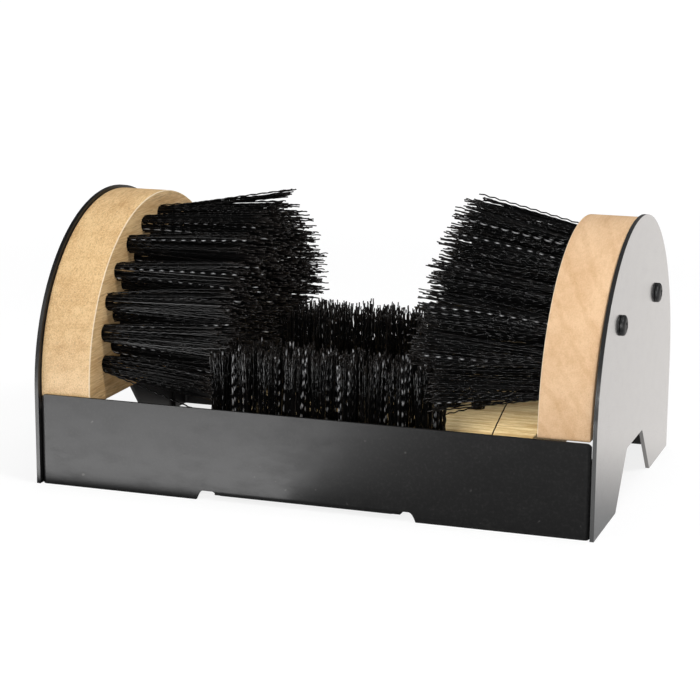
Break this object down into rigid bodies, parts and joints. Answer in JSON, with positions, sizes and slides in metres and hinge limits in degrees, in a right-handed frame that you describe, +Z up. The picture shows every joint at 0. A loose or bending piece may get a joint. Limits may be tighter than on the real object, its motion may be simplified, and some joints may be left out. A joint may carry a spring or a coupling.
{
  "type": "boot scraper",
  "caption": "Boot scraper: black folded steel tray with arched end plates, stiff bristle brushes on wooden blocks facing each other from the ends, and a bristle brush standing in the tray.",
  "frame": {"origin": "on the floor, under the middle of the whole object", "axes": "+X along the tray towards the right end plate, +Y to the rear, +Z up from the floor"},
  "size_m": [0.2954, 0.186, 0.141],
  "materials": {
    "black_paint": "satin black paint on sheet steel",
    "wood": "planed pale hardwood, lightly sealed",
    "bristle": "crimped black plastic filament",
    "black_screw": "black phosphated steel screw"
  },
  "bodies": {
    "root": {"folded_tray": "black_paint", "left_end_plate": "black_paint", "right_end_plate": "black_paint", "left_brush_block": "wood", "right_brush_block": "wood", "base_brush_block": "wood", "left_bristles": "bristle", "right_bristles": "bristle", "base_bristles_front": "bristle", "base_bristles_rear": "bristle", "left_plate_screw_front": "black_screw", "left_plate_screw_rear": "black_screw", "right_plate_screw_front": "black_screw", "right_plate_screw_rear": "black_screw", "base_block_screw_1": "black_screw", "base_block_screw_2": "black_screw", "base_block_screw_3": "black_screw", "base_block_screw_4": "black_screw"}
  },
  "joints": []
}
